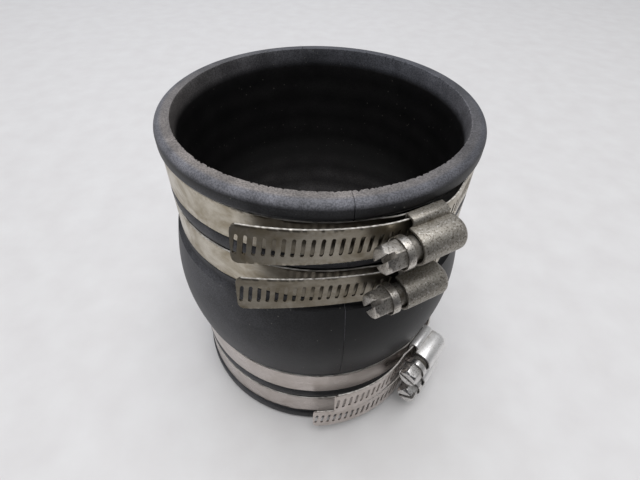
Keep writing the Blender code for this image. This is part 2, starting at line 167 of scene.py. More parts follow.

# Each clamp: where its tail ends, how far the tail stands off, how early it lifts and how far it
#  leans, how its head is turned, how weathered it is, and how much dirt with painted shade lies under and
#  along its tail. Angles are degrees.
CLAMPS = {
    "top": dict(
        tail_end=-52.0, lift=0.0038, early=-0.3, lean=12, turn=57, wear="weathered", dirt_and_shade=0.8, tail_dirt_and_shade=0.4
    ),
    "upper": dict(
        tail_end=-50.5, lift=0.0056, early=-0.3, lean=8, turn=62, wear="weathered", dirt_and_shade=0.7, tail_dirt_and_shade=0.6
    ),
    "lower": dict(
        tail_end=-44.2, lift=0.0061, early=0.8, lean=5, turn=-15, wear="bright", dirt_and_shade=0.25, tail_dirt_and_shade=0.0
    ),
    "bottom": dict(
        tail_end=-54.3, lift=0.0035, early=0.9, lean=4, turn=35, wear="bright", dirt_and_shade=0.25, tail_dirt_and_shade=0.0
    ),
}

sleeve_low, sleeve_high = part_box("sleeve")
AXIS = Vector(((sleeve_low.x + sleeve_high.x) / 2, (sleeve_low.y + sleeve_high.y) / 2, 0))
LENGTH = sleeve_high.z
TINY = 1e-6


def smooth_step(value):
    value = min(max(value, 0.0), 1.0)
    return value * value * (3 - 2 * value)


def linear(text):
    """A linear colour from an sRGB hex value."""
    values = [int(text[i : i + 2], 16) / 255 for i in (1, 3, 5)]
    values = [v / 12.92 if v <= 0.04045 else ((v + 0.055) / 1.055) ** 2.4 for v in values]
    return (*values, 1.0)


# Materials ----------------------------------------------------------------------------------


def add_node(tree, kind, sockets=None, stops=None, **settings):
    """Adds a node with its settings; sockets take a value or another node's output."""
    made = tree.nodes.new(kind)
    for key, value in settings.items():
        setattr(made, key, value)
    for key, value in (sockets or {}).items():
        if isinstance(value, bpy.types.NodeSocket):
            tree.links.new(value, made.inputs[key])
        else:
            made.inputs[key].default_value = value
    if stops:
        ramp = made.color_ramp
        while len(ramp.elements) < len(stops):
            ramp.elements.new(0.5)
        for element, (place, value) in zip(ramp.elements, stops):
            element.position = place
            element.color = value if isinstance(value, tuple) else (value, value, value, 1.0)
    return made.outputs[0]


def mixed(tree, factor, first, second):
    """One colour laid over another by a factor."""
    sockets = {"Factor": factor, "A": first, "B": second}
    return add_node(tree, "ShaderNodeMix", sockets, data_type="RGBA").node.outputs["Result"]


def new_material(name):
    made = bpy.data.materials.new(name)
    made.use_nodes = True
    tree = made.node_tree
    return made, tree, tree.nodes["Principled BSDF"]


def moulded_rubber():
    """EPDM moulded in a steel tool: near black and satin, with grey dust ground into the faces that were
    handled, a painted sheen and painted highlights where the lip, rib and bulge face the light, and a fine
    grain from the tool."""
    made, tree, shader = new_material("moulded_epdm_rubber")
    place = add_node(tree, "ShaderNodeTexCoord").node.outputs["Object"]
    dust = add_node(tree, "ShaderNodeAttribute", attribute_name="dust").node.outputs["Fac"]
    warmth = add_node(tree, "ShaderNodeAttribute", attribute_name="warmth").node.outputs["Fac"]
    # Blotches about 9 mm across in the dust and painted sheen
    blotch = add_node(tree, "ShaderNodeTexNoise", {"Vector": place, "Scale": 1 / 0.009, "Detail": 5.0})
    blotch = add_node(tree, "ShaderNodeValToRGB", {"Fac": blotch}, stops=[(0.30, 0.55), (0.68, 1.0)])
    # Grit of 0.5 mm
    grit = add_node(tree, "ShaderNodeTexNoise", {"Vector": place, "Scale": 1 / 0.0005, "Detail": 3.0})
    flecks = add_node(tree, "ShaderNodeValToRGB", {"Fac": grit}, stops=[(0.36, 0.50), (0.62, 1.0)])
    cover = add_node(tree, "ShaderNodeMath", {0: dust, 1: blotch}, operation="MULTIPLY")
    cover = add_node(tree, "ShaderNodeMath", {0: cover, 1: flecks}, operation="MULTIPLY")
    # The warm grey is dust; the cool grey is a painted bluish sheen of the overhead lights
    dust_and_sheen_tone = mixed(tree, warmth, linear("#888a93"), linear("#a59e99"))
    colour = mixed(tree, cover, linear("#0b0b0c"), dust_and_sheen_tone)
    # Pale crumbs about 0.4 mm across, one to each 3.5 mm or so
    crumbs = add_node(tree, "ShaderNodeTexVoronoi", {"Vector": place, "Scale": 1 / 0.0035})
    crumbs = add_node(tree, "ShaderNodeValToRGB", {"Fac": crumbs}, stops=[(0.05, 0.5), (0.09, 0.0)])
    colour = mixed(tree, crumbs, colour, linear("#77756f"))
    tree.links.new(colour, shader.inputs["Base Color"])
    rough = add_node(
        tree, "ShaderNodeMapRange", {"Value": cover, "To Min": 0.42, "To Max": 0.72}
    )
    tree.links.new(rough, shader.inputs["Roughness"])
    shader.inputs["Specular IOR Level"].default_value = 0.20
    # Ripples of 3 mm
    wave = add_node(tree, "ShaderNodeTexNoise", {"Vector": place, "Scale": 1 / 0.003, "Detail": 4.0})
    bump = add_node(
        tree, "ShaderNodeBump", {"Height": wave, "Strength": 0.10, "Distance": 0.0004}
    )
    bump = add_node(
        tree,
        "ShaderNodeBump",
        {"Height": grit, "Strength": 0.22, "Distance": 0.0001, "Normal": bump},
    )
    tree.links.new(bump, shader.inputs["Normal"])
    return made


def rolled_strip(name, clean, stained, edge_dirt, stain_cover, rough_low, rough_high):
    """Cold-rolled stainless strip: a soft sheen drawn out along its length by fine rolling lines,
    brown water stains, darker dirt along its edges, dirt with painted shade under and along the tail, and a
    painted highlight on the sheared edges."""
    made, tree, shader = new_material(name)
    place = add_node(tree, "ShaderNodeTexCoord").node.outputs["Object"]
    run = add_node(tree, "ShaderNodeAttribute", attribute_name="run").node.outputs["Vector"]
    edge = add_node(tree, "ShaderNodeAttribute", attribute_name="edge").node.outputs["Fac"]
    # Rolling lines 40 mm long and 0.35 mm apart
    lines = add_node(tree, "ShaderNodeMapping", {"Vector": run, "Scale": (1 / 0.04, 1 / 0.00035, 1)})
    lines = add_node(tree, "ShaderNodeTexNoise", {"Vector": lines, "Scale": 1.0, "Detail": 3.0})
    # Stains about 10 mm across with ragged outlines
    stain = add_node(
        tree,
        "ShaderNodeTexNoise",
        {"Vector": place, "Scale": 1 / 0.010, "Detail": 8.0, "Roughness": 0.62, "Distortion": 0.6},
    )
    stain = add_node(
        tree, "ShaderNodeValToRGB", {"Fac": stain}, stops=[(0.42, 0.0), (0.66, stain_cover)]
    )
    # Specks of 1.1 mm that break up the dirt along the edges
    grain = add_node(tree, "ShaderNodeTexNoise", {"Vector": place, "Scale": 1 / 0.0011, "Detail": 4.0})
    grain = add_node(tree, "ShaderNodeValToRGB", {"Fac": grain}, stops=[(0.35, 0.0), (0.75, 1.0)])
    rim = add_node(tree, "ShaderNodeMath", {0: edge, 1: edge_dirt}, operation="MULTIPLY")
    rim = add_node(tree, "ShaderNodeMath", {0: rim, 1: grain}, operation="MULTIPLY")
    dirt_and_shade = add_node(tree, "ShaderNodeMath", {0: stain, 1: rim}, operation="MAXIMUM")
    drawn = add_node(tree, "ShaderNodeMath", {0: lines, 1: 0.22}, operation="MULTIPLY")
    # Dirt and painted shade on the band under the tail and on the free tail
    under_tail = add_node(tree, "ShaderNodeAttribute", attribute_name="under_tail").node.outputs["Fac"]
    cut = add_node(tree, "ShaderNodeAttribute", attribute_name="cut").node.outputs["Fac"]
    colour = linear(clean)
    for cover, layer in (
        (dirt_and_shade, stained),
        (drawn, "#6c675e"),
        (under_tail, "#4b453b"),
        (cut, "#f3efe8"),
    ):
        colour = mixed(tree, cover, colour, linear(layer))
    tree.links.new(colour, shader.inputs["Base Color"])
    # The torn edge carries a painted highlight, a matt white line
    metal = add_node(tree, "ShaderNodeMapRange", {"Value": cut, "To Min": 1.0, "To Max": 0.15})
    tree.links.new(metal, shader.inputs["Metallic"])
    rough = add_node(
        tree, "ShaderNodeMapRange", {"Value": dirt_and_shade, "To Min": rough_low, "To Max": rough_high}
    )
    rough = add_node(
        tree,
        "ShaderNodeMath",
        {0: lines, 1: 0.12, 2: rough},
        operation="MULTIPLY_ADD",
    )
    tree.links.new(rough, shader.inputs["Roughness"])
    bump = add_node(
        tree, "ShaderNodeBump", {"Height": lines, "Strength": 0.10, "Distance": 0.00005}
    )
    bump = add_node(
        tree,
        "ShaderNodeBump",
        {"Height": grain, "Strength": 0.10, "Distance": 0.00008, "Normal": bump},
    )
    tree.links.new(bump, shader.inputs["Normal"])
    return made


def worked_steel(name, clean, grime_and_shade_colour, pitted, glint, rough_low, rough_high, dent):
    """Pressed or headed steel: a dull sheen broken by pits and specks, with painted shade and grime in the
    creases and recesses and a few wide blotches."""
    made, tree, shader = new_material(name)
    place = add_node(tree, "ShaderNodeTexCoord").node.outputs["Object"]
    # Painted shade in creases and recesses, over a light grime, as a mask from each point
    grime = add_node(tree, "ShaderNodeAttribute", attribute_name="grime").node.outputs["Fac"]
    # Grain of 0.6 mm, coarser than the real one so that its pits and bright specks show
    pits = add_node(
        tree,
        "ShaderNodeTexNoise",
        {"Vector": place, "Scale": 1 / 0.0006, "Detail": 4.0, "Roughness": 0.68},
    )
    speckle = add_node(
        tree,
        "ShaderNodeValToRGB",
        {"Fac": pits},
        stops=[
            (0.36, linear(pitted)),
            (0.46, linear(clean)),
            (0.58, linear(clean)),
            (0.68, linear(glint)),
        ],
    )
    # Blotches of 5 mm
    blotch = add_node(
        tree,
        "ShaderNodeTexNoise",
        {"Vector": place, "Scale": 1 / 0.005, "Detail": 6.0, "Roughness": 0.6},
    )
    cloud = add_node(tree, "ShaderNodeValToRGB", {"Fac": blotch}, stops=[(0.46, 0.0), (0.70, 0.7)])
    dirt_and_shade = add_node(tree, "ShaderNodeMath", {0: grime, 1: cloud}, operation="MULTIPLY")
    dirt_and_shade = add_node(tree, "ShaderNodeMath", {0: grime, 1: 0.55, 2: dirt_and_shade}, operation="MULTIPLY_ADD")
    colour = mixed(tree, dirt_and_shade, speckle, linear(grime_and_shade_colour))
    tree.links.new(colour, shader.inputs["Base Color"])
    metal = add_node(tree, "ShaderNodeMapRange", {"Value": dirt_and_shade, "To Min": 1.0, "To Max": 0.35})
    tree.links.new(metal, shader.inputs["Metallic"])
    rough = add_node(
        tree, "ShaderNodeMapRange", {"Value": blotch, "To Min": rough_low, "To Max": rough_high}
    )
    tree.links.new(rough, shader.inputs["Roughness"])
    bump = add_node(
        tree, "ShaderNodeBump", {"Height": pits, "Strength": dent, "Distance": 0.00012}
    )
    tree.links.new(bump, shader.inputs["Normal"])
    return made


def floor_board():
    """Matt painted board: pale, warm grey and even, with a slight mottle."""
    made, tree, shader = new_material("matt_painted_board")
    place = add_node(tree, "ShaderNodeTexCoord").node.outputs["Object"]
    # Mottle of 20 mm
    mottle = add_node(tree, "ShaderNodeTexNoise", {"Vector": place, "Scale": 1 / 0.02, "Detail": 6.0})
    colour = add_node(
        tree,
        "ShaderNodeValToRGB",
        {"Fac": mottle},
        stops=[(0.3, linear("#d7d5d4")), (0.7, linear("#dddcdb"))],
    )
    tree.links.new(colour, shader.inputs["Base Color"])
    shader.inputs["Roughness"].default_value = 0.55
    return made


def dark_cloth():
    """Matt dark cloth on the card that the metal reflects."""
    made, tree, shader = new_material("dark_cloth")
    place = add_node(tree, "ShaderNodeTexCoord").node.outputs["Object"]
    # Faded patches of 50 mm
    fading = add_node(tree, "ShaderNodeTexNoise", {"Vector": place, "Scale": 1 / 0.05, "Detail": 3.0})
    colour = add_node(
        tree,
        "ShaderNodeValToRGB",
        {"Fac": fading},
        stops=[(0.3, linear("#2a2b2e")), (0.7, linear("#34353a"))],
    )
    tree.links.new(colour, shader.inputs["Base Color"])
    shader.inputs["Roughness"].default_value = 0.9
    return made


# Shared steps -------------------------------------------------------------------------------


def finish_piece(name, mesh, material, body, slot, *nodes):
    """Puts a finished mesh in the scene on its body, in place of its CAD nodes."""
    mesh.name = name
    mesh.materials.clear()
    mesh.materials.append(material)
    made = bpy.data.objects.new(name + "_look", mesh)
    bpy.context.scene.collection.objects.link(made)
    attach(made, body)
    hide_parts(*nodes)


def mesh_from(bm, name):
    mesh = bpy.data.meshes.new(name)
    bm.to_mesh(mesh)
    bm.free()
    return mesh


def smooth(mesh, degrees):
    mesh.shade_smooth()
    mesh.set_sharp_from_angle(angle=math.radians(degrees))


def write_attribute(mesh, name, values, kind="FLOAT"):
    attribute = mesh.attributes.new(name, kind, "POINT")
    field = "value" if kind == "FLOAT" else "vector"
    attribute.data.foreach_set(field, np.asarray(values, np.float32).ravel())


def points_of(mesh):
    points = np.zeros(len(mesh.vertices) * 3, np.float32)
    mesh.vertices.foreach_get("co", points)
    return points.reshape(-1, 3).astype(float)


def arc(centre_r, centre_z, radius, start, end, steps):
    """Points (r, z) on an arc, with angles in degrees from +r towards +z."""
    return [
        (centre_r + radius * math.cos(a), centre_z + radius * math.sin(a))
        for a in np.linspace(math.radians(start), math.radians(end), steps + 1)
    ]


def boolean(target, operation, other):
    """Joins or cuts target's mesh with another mesh and returns the result."""
    objects = []
    for mesh in (target, other):
        objects.append(bpy.data.objects.new("step", mesh))
        bpy.context.scene.collection.objects.link(objects[-1])
    modifier = objects[0].modifiers.new("step", "BOOLEAN")
    modifier.operation = operation
    modifier.object = objects[1]
    modifier.solver = "EXACT"
    bpy.context.view_layer.update()
    graph = bpy.context.evaluated_depsgraph_get()
    mesh = bpy.data.meshes.new_from_object(objects[0].evaluated_get(graph))
    for used in objects:
        bpy.data.objects.remove(used)
    return mesh


def box_mesh(low, high):
    bm = bmesh.new()
    size = Vector(high) - Vector(low)
    matrix = Matrix.Translation((Vector(low) + Vector(high)) / 2) @ Matrix.Diagonal((*size, 1))
    bmesh.ops.create_cube(bm, size=1, matrix=matrix)
    return mesh_from(bm, "box")


def bevel(bm, edges, width, steps):
    bmesh.ops.bevel(
        bm,
        geom=edges,
        offset=width,
        segments=steps,
        affect="EDGES",
        profile=0.5,
        material=-1,
        clamp_overlap=True,
    )


# Sleeve -------------------------------------------------------------------------------------


def bulge_half_height():
    return LENGTH / 2 - END_WIDTH - SHOULDER_WIDTH


def rounded_rib(top, foot):
    """The middle rib's outside: low at its edges and crowned between them."""
    points = []
    for share in np.linspace(0, 1, 13):
        crown = math.sin(math.pi * share) ** 0.55
        radius = GROOVE_RADIUS + 0.0001 + (RIB_RADIUS + 0.0002 - GROOVE_RADIUS - 0.0001) * crown
        points.append((radius, top + (foot - top) * share))
    return points


def outer_half_profile():
    top = LENGTH - RIM_DROP
    lip_foot = LENGTH - LIP_WIDTH
    rib_top = lip_foot - GROOVE_WIDTH
    rib_foot = rib_top - RIB_WIDTH
    shoulder_top = rib_foot - GROOVE_WIDTH
    bulge_top = shoulder_top - SHOULDER_WIDTH
    points = [(RIM_RADIUS, top), (RIM_RADIUS + 0.0004, top + 0.00003)]
    points += [(r, top) for r in np.linspace(RIM_RADIUS + 0.0009, LIP_RADIUS - 0.0029, 5)]
    points += arc(LIP_RADIUS - LIP_TOP_ROUND, top - LIP_TOP_ROUND, LIP_TOP_ROUND, 90, 0, 10)
    under = lip_foot + LIP_UNDER_ROUND
    points += arc(LIP_RADIUS - LIP_UNDER_ROUND, under, LIP_UNDER_ROUND, 0, -90, 6)
    points += [(GROOVE_RADIUS, lip_foot), (GROOVE_RADIUS, (lip_foot + rib_top) / 2)]
    points += rounded_rib(rib_top, rib_foot)
    points += [(GROOVE_RADIUS, (rib_foot + shoulder_top) / 2), (GROOVE_RADIUS, shoulder_top)]
    points += arc(RIB_RADIUS - 0.0008, shoulder_top - 0.0008, 0.0008, 90, 0, 4)
    points += [(RIB_RADIUS, z) for z in np.linspace(shoulder_top - 0.0016, bulge_top + 0.0030, 3)]
    points += arc(RIB_RADIUS + 0.0014, bulge_top + 0.0016, 0.0014, 180, 250, 4)
    for z in np.linspace(bulge_top, LENGTH / 2, 15):
        across = (z - LENGTH / 2) / bulge_half_height()
        points.append((BULGE_FOOT_RADIUS + BULGE_HEIGHT * math.cos(across * math.pi / 2), z))
    return points


def inner_half_profile():
    points = []
    hollow_top = LENGTH - END_WIDTH
    for z in np.linspace(LENGTH / 2, hollow_top, 12):
        across = (z - LENGTH / 2) / (hollow_top - LENGTH / 2)
        points.append((BORE_RADIUS + HOLLOW_DEPTH * (1 + math.cos(across * math.pi)) / 2, z))
    points += [(BORE_RADIUS, z) for z in np.linspace(hollow_top + 0.003, LENGTH - LEAD_IN - 0.0009, 7)]
    points += [(BORE_RADIUS, LENGTH - LEAD_IN)]
    points += [(BORE_RADIUS + 0.0002, LENGTH - LEAD_IN * 0.7)]
    points += [(BORE_RADIUS + 0.0004, LENGTH - LEAD_IN * 0.35)]
    points += [(RIM_RADIUS - 0.0002, LENGTH - RIM_DROP - 0.0006)]
    return points


def squeeze_seams(angle):
    """Draws the columns near a parting line together, so that the line is a fine one."""
    step = 2 * math.pi / SLEEVE_STEPS
    for seam in SEAMS:
        away = (angle - seam + math.pi) % (2 * math.pi) - math.pi
        columns = abs(away) / step
        if columns < 6:
            near = np.interp(columns, [0, 1, 2, 3, 4, 5, 6], [0, 0.22, 0.6, 1.4, 2.7, 4.3, 6])
            return seam + math.copysign(near * step, away), columns
    return angle, 99.0


def rim_bite(angle):
    """How deeply the trimmed inner rim is bitten at an angle, from 0 to 1."""
    where = Vector((math.cos(angle), math.sin(angle), 0))
    bites = 0.7 * noise.noise(where * 52) + 0.6 * noise.noise(where * 118)
    zone = 0.45 + 0.55 * noise.noise(where * 1.6 + Vector((3.1, 0, 0)))
    return min(max(bites * 2.0 - 0.15, 0.0), 1.0) * min(max(zone * 1.7, 0.25), 1.0)


def rim_whisker(angle):
    where = Vector((math.cos(angle), math.sin(angle), 5))
    return max(noise.noise(where * 90) - 0.22, 0.0)


def shape_sleeve_point(x, y, z):
    """Moves one point of the turned sleeve: parting lines, bitten rims and slight sag."""
    radius = math.hypot(x, y)
    angle, columns = squeeze_seams(math.atan2(y, x))
    on_seam = columns < 0.5
    outside = radius > GROOVE_RADIUS + 0.0004
    end = min(z, LENGTH - z)
    near_rim = RIM_RADIUS - 0.0009 < radius < RIM_RADIUS + 0.00085 and end < 0.0011
    where = Vector((math.cos(angle) * 2, math.sin(angle) * 2, z * 40))
    radius += SAG * (noise.noise(where) - 1)
    if near_rim:
        bite = rim_bite(angle if z > LENGTH / 2 else angle + 1)
        radius += BITE_WIDTH * bite
        lift = 0.8 * RIM_DROP * rim_whisker(angle)
        sink = BITE_DEPTH * bite
        z += (lift - sink) if z > LENGTH / 2 else (sink - lift)
    if on_seam and end < 0.0009 and radius > RIM_RADIUS:
        z += -SEAM_NOTCH if z > LENGTH / 2 else SEAM_NOTCH
    elif on_seam and outside and end < LIP_WIDTH - 0.0005 and math.sin(angle) < 0:
        radius -= LIP_SEAM_DEPTH
    elif on_seam and outside:
        front = math.sin(angle) < 0
        ridge = SEAM_RIDGE
        if not front:
            ridge = min(ridge, BULGE_FOOT_RADIUS + BULGE_HEIGHT - radius)
        radius += max(ridge, 0.0)
        if not front and 0.0006 < LENGTH - z < 0.0014:
            radius += SEAM_FLASH
    return radius * math.cos(angle), radius * math.sin(angle), z


def sleeve_dust_and_sheen(points):
    """Dust and painted sheen at each point, and how warm its tone is. Dust is strongest on the front left
    of the top face; the cool tone elsewhere on the lip is a painted sheen, with a painted highlight on the
    lip's front outer round.
    """
    x, y = points[:, 0] - AXIS.x, points[:, 1] - AXIS.y
    z = points[:, 2]
    radius, angle = np.hypot(x, y), np.arctan2(y, x)
    end = LENGTH - z
    facing = 0.5 + 0.5 * np.cos(angle - DUSTY_SIDE)
    side = np.abs(np.cos(angle))
    front = 0.5 + 0.5 * np.cos(angle - FRONT_SIDE)
    # Deeper at the front, where the pale tone runs down the lip's outer round as a painted highlight
    depth = 0.0022 + 0.0006 * front**3
    face = np.clip((depth - end) / (depth * 0.6), 0, 1) * (radius > RIM_RADIUS - 0.0002)
    # A paler band inside the rim, paler at the left and right sides and most at the right
    lead = np.clip((LEAD_IN + 0.0009 - end) / 0.0030, 0, 1) * (radius < RIM_RADIUS)
    bore = (radius < LIP_RADIUS - 0.001) * (radius < BORE_RADIUS + HOLLOW_DEPTH + 0.0003)
    bore = bore * (end > LEAD_IN) * (z > LEAD_IN)
    # Dust on the top face, heaviest on the dusty side; its cool part elsewhere is a painted sheen
    dust = face * (0.42 + 0.50 * facing**2)
    dust = np.maximum(dust, lead * (0.34 + 0.16 * side + 0.36 * np.clip(np.cos(angle), 0, 1)))
    # Paler towards the bottom of the bore, in faint rings
    rings = 0.75 + 0.25 * np.sin(z / 0.0016)
    dust = np.maximum(dust, bore * rings * (0.05 + 0.42 * np.clip((0.078 - z) / 0.030, 0, 1)))
    outside = radius > GROOVE_RADIUS + 0.0003
    # Dust with a painted sheen over the bulge, strongest at its lower left
    low_left = 0.5 + 0.5 * np.cos(angle - DUST_AND_SHEEN_SIDE)
    body = outside * (end > 0.004)
    dust = np.maximum(dust, body * (0.01 + 0.36 * low_left**12))
    # A painted highlight along the lower half of the rib between the clamps
    ledge = outside * (np.abs(end - LIP_WIDTH - GROOVE_WIDTH - RIB_WIDTH * 0.62) < RIB_WIDTH * 0.3)
    dust = np.maximum(dust, ledge * 0.20)
    # A pale line along the front parting line across the bulge
    ridge = outside * (np.abs(angle - SEAMS[0]) < 0.001) * (np.abs(z - 0.080) < 0.009)
    dust = np.maximum(dust, ridge)
    # Warm where the pale tone is dust, cool where it is a painted sheen
    warmth = facing * np.clip((LIP_RADIUS - 0.0016 - radius) / 0.0016, 0.15, 1)
    warmth = np.maximum(warmth, bore * 0.6)
    return dust, warmth


def add_sleeve(material):
    outer = outer_half_profile()
    inner = inner_half_profile()
    mirrored = [(r, LENGTH - z) for r, z in reversed(outer[:-1])]
    mirrored_bore = [(r, LENGTH - z) for r, z in reversed(inner[1:])]
    loop = outer + mirrored + mirrored_bore + inner
    bm = bmesh.new()
    start = SEAMS[0]
    verts = [bm.verts.new((r * math.cos(start), r * math.sin(start), z)) for r, z in loop]
    edges = [bm.edges.new(pair) for pair in zip(verts, verts[1:] + verts[:1])]
    bmesh.ops.spin(
        bm,
        geom=verts + edges,
        axis=(0, 0, 1),
        cent=(0, 0, 0),
        angle=2 * math.pi / SLEEVE_SECTORS,
        steps=SLEEVE_STEPS // SLEEVE_SECTORS,
    )
    sector = bm.verts[:] + bm.edges[:] + bm.faces[:]
    for number in range(1, SLEEVE_SECTORS):
        copied = bmesh.ops.duplicate(bm, geom=sector)["geom"]
        bmesh.ops.rotate(
            bm,
            verts=[v for v in copied if isinstance(v, bmesh.types.BMVert)],
            cent=(0, 0, 0),
            matrix=Matrix.Rotation(number * 2 * math.pi / SLEEVE_SECTORS, 3, "Z"),
        )
    bmesh.ops.remove_doubles(bm, verts=bm.verts, dist=TINY)
    for vert in bm.verts:
        vert.co = shape_sleeve_point(*vert.co)
    bmesh.ops.translate(bm, verts=bm.verts, vec=AXIS)
    bmesh.ops.recalc_face_normals(bm, faces=bm.faces)
    mesh = mesh_from(bm, "sleeve")
    smooth(mesh, 50)
    dust, warmth = sleeve_dust_and_sheen(points_of(mesh))
    write_attribute(mesh, "dust", dust)
    write_attribute(mesh, "warmth", warmth)
    finish_piece("sleeve", mesh, material, "sleeve", "rubber", "sleeve")


# Band ---------------------------------------------------------------------------------------


def tail_share(angle, clamp):
    """How far along the free tail an angle is: 0 up to its start, 1 at its end."""
    end = math.radians(clamp["tail_end"])
    return max(0.0, (TAIL_STARTS - angle) / (TAIL_STARTS - end))


def band_radius(angle, clamp):
    """The band's middle radius at an angle that falls from the fixed end to the tail's end."""
    if angle > -math.pi:
        seat = (angle - FIXED_END_LIFTS) / (FIXED_END_SEAT - FIXED_END_LIFTS)
        return SEATED_BAND + (FIXED_BAND - SEATED_BAND) * smooth_step(seat)
    angle += 2 * math.pi
    ramp = (RAMP_FOOT - angle) / (RAMP_FOOT - RAMP_TOP)
    radius = SEATED_BAND + (SLOTTED_BAND - SEATED_BAND) * smooth_step(ramp)
    share, early = tail_share(angle, clamp), clamp["early"]
    return radius + clamp["lift"] * ((1 - early) * share**2 + early * (2 * share - share**2))


def band_path(clamp):
    """The band's middle line: distance along it, angle, and place."""
    end = math.radians(clamp["tail_end"]) - 2 * math.pi
    angles = np.linspace(FIXED_END_ANGLE, end, PATH_POINTS)
    radii = np.array([band_radius(a, clamp) for a in angles])
    x, y = radii * np.cos(angles), radii * np.sin(angles)
    distance = np.concatenate([[0.0], np.cumsum(np.hypot(np.diff(x), np.diff(y)))])
    return distance, angles, x, y


def band_stations(length):
    """Places along the band where it is divided, each with its offset in a slot or None."""
    first_slot = length - END_TO_SLOT - (SLOT_COUNT - 1) * SLOT_PITCH
    plain = first_slot - SLOT_PITCH / 2
    stations = [(x, None) for x in np.linspace(0, plain, round(plain / PLAIN_CELL) + 1)]
    offsets = [share * SLOT_WIDTH for share in (-0.5, -0.3, 0.0, 0.3, 0.5)]
    for number in range(SLOT_COUNT):
        middle = first_slot + number * SLOT_PITCH
        if number:
            stations.append((middle - SLOT_PITCH / 2, None))
        stations += [(middle + offset, offset) for offset in offsets]
    stations += [(length - left, None) for left in (0.0005, 0.0002, 0.00006, 0.0)]
    return stations


def slot_edge(offset):
    """How far a slot with round ends reaches from its middle, at an offset across it."""
    corner = SLOT_WIDTH / 2
    return SLOT_LENGTH / 2 - corner + math.sqrt(max(corner**2 - offset**2, 0.0))


def round_corner(x, y, length):
    """Draws a row in towards the middle where the tail's end is rounded."""
    past = max(x - (length - END_CORNER), 0.0)
    limit = BAND_WIDTH / 2 - END_CORNER + math.sqrt(max(END_CORNER**2 - past**2, 0.0))
    slot = SLOT_LENGTH / 2
    if abs(y) <= slot + TINY:
        return y
    share = (abs(y) - slot) / (BAND_WIDTH / 2 - slot)
    return math.copysign(slot + share * (limit - slot), y)


def flat_band(length):
    """The band before wrapping: length along X, width along Y, thickness along Z."""
    half, slot = BAND_WIDTH / 2, SLOT_LENGTH / 2
    rows = [-half, -half + EDGE_ROUND, -half + 0.0010, -slot, -slot / 2, 0.0]
    rows += [-y for y in reversed(rows[:-1])]
    stations = band_stations(length)
    bm = bmesh.new()
    grid = []
    for x, offset in stations:
        column = []
        for y in rows:
            place_x, place_y = x, round_corner(x, y, length)
            if offset is not None and abs(y) < slot + TINY:
                place_x += y * math.tan(SLOT_SLANT)
                if abs(y) > slot - TINY:
                    place_y = math.copysign(slot_edge(offset), y)
            column.append(bm.verts.new((place_x, place_y, -BAND_THICKNESS / 2)))
        grid.append(column)
    for i in range(len(stations) - 1):
        in_slot = stations[i][1] is not None and stations[i + 1][1] is not None
        for j in range(len(rows) - 1):
            if in_slot and abs(rows[j] + rows[j + 1]) < 2 * slot:
                continue
            bm.faces.new((grid[i][j], grid[i + 1][j], grid[i + 1][j + 1], grid[i][j + 1]))
    loose = [v for v in bm.verts if not v.link_faces]
    bmesh.ops.delete(bm, geom=loose, context="VERTS")
    made = bmesh.ops.extrude_face_region(bm, geom=list(bm.faces))["geom"]
    raised = [v for v in made if isinstance(v, bmesh.types.BMVert)]
    bmesh.ops.translate(bm, verts=raised, vec=(0, 0, BAND_THICKNESS))
    bmesh.ops.recalc_face_normals(bm, faces=bm.faces)
    return bm


def shear_edge(x, y, z, length):
    """Rounds the band's long edges a little and leaves them as uneven as a shear does."""
    limit = abs(round_corner(x, BAND_WIDTH / 2, length))
    if abs(y) > limit - EDGE_ROUND / 2:
        z *= 0.62
        side = math.copysign(3.0, y)
        y += math.copysign(0.00010, y) * noise.noise(Vector((x * 1300, side, 0)))
        z += 0.00009 * noise.noise(Vector((x * 900, side, 4)))
    return x, y, z


def add_band(name, clamp, place, material):
    distance, angles, path_x, path_y = band_path(clamp)
    length = float(distance[-1])
    bm = flat_band(length)
    flat = [shear_edge(*v.co, length) for v in bm.verts]
    lean = math.tan(math.radians(clamp["lean"]))
    for vert, (along, height, outwards) in zip(bm.verts, flat):
        ahead = min(along + PATH_STEP, length)
        x, y = np.interp(along, distance, path_x), np.interp(along, distance, path_y)
        run_x, run_y = (
            np.interp(ahead, distance, c) - np.interp(ahead - 2 * PATH_STEP, distance, c)
            for c in (path_x, path_y)
        )
        normal = Vector((-run_y, run_x, 0)).normalized()
        angle = float(np.interp(along, distance, angles)) + 2 * math.pi
        share = tail_share(angle, clamp) if angle < 0 else 0.0
        vert.co = Vector((x, y, height)) + normal * (outwards - height * lean * share**2)
    bmesh.ops.reverse_faces(bm, faces=bm.faces)
    bmesh.ops.transform(bm, verts=bm.verts, matrix=place)
    mesh = mesh_from(bm, f"{name}_band")
    smooth(mesh, 35)
    flat = np.array(flat)
    seed = list(CLAMPS).index(name)
    turned = np.degrees(np.interp(flat[:, 0], distance, angles))
    # Dirt and painted shade on the band where the tail lies over it, and on the free tail
    hidden = np.clip((turned - clamp["tail_end"] + 2) / 9, 0, 1) * clamp["dirt_and_shade"]
    free = np.clip((-turned - 345) / 10, 0, 1) * clamp["tail_dirt_and_shade"]
    hidden = np.maximum(hidden, free)
    write_attribute(mesh, "under_tail", hidden)
    # A painted highlight along the sheared long edges, broken up by noise
    torn = np.array([0.75 + 0.8 * noise.noise(Vector((x * 1100, y * 500, 8))) for x, y, z in flat])
    cut = np.abs(flat[:, 1]) > BAND_WIDTH / 2 - EDGE_ROUND / 2
    write_attribute(mesh, "cut", cut * np.clip(torn, 0, 1))
    write_attribute(mesh, "run", np.c_[flat[:, 0] + seed, flat[:, 1], flat[:, 2]], "FLOAT_VECTOR")
    write_attribute(mesh, "edge", np.clip((np.abs(flat[:, 1]) / BAND_WIDTH * 2 - 0.55) / 0.45, 0, 1))
    finish_piece(f"{name}_band", mesh, material, f"{name}_clamp", "band_steel", f"{name}_band")


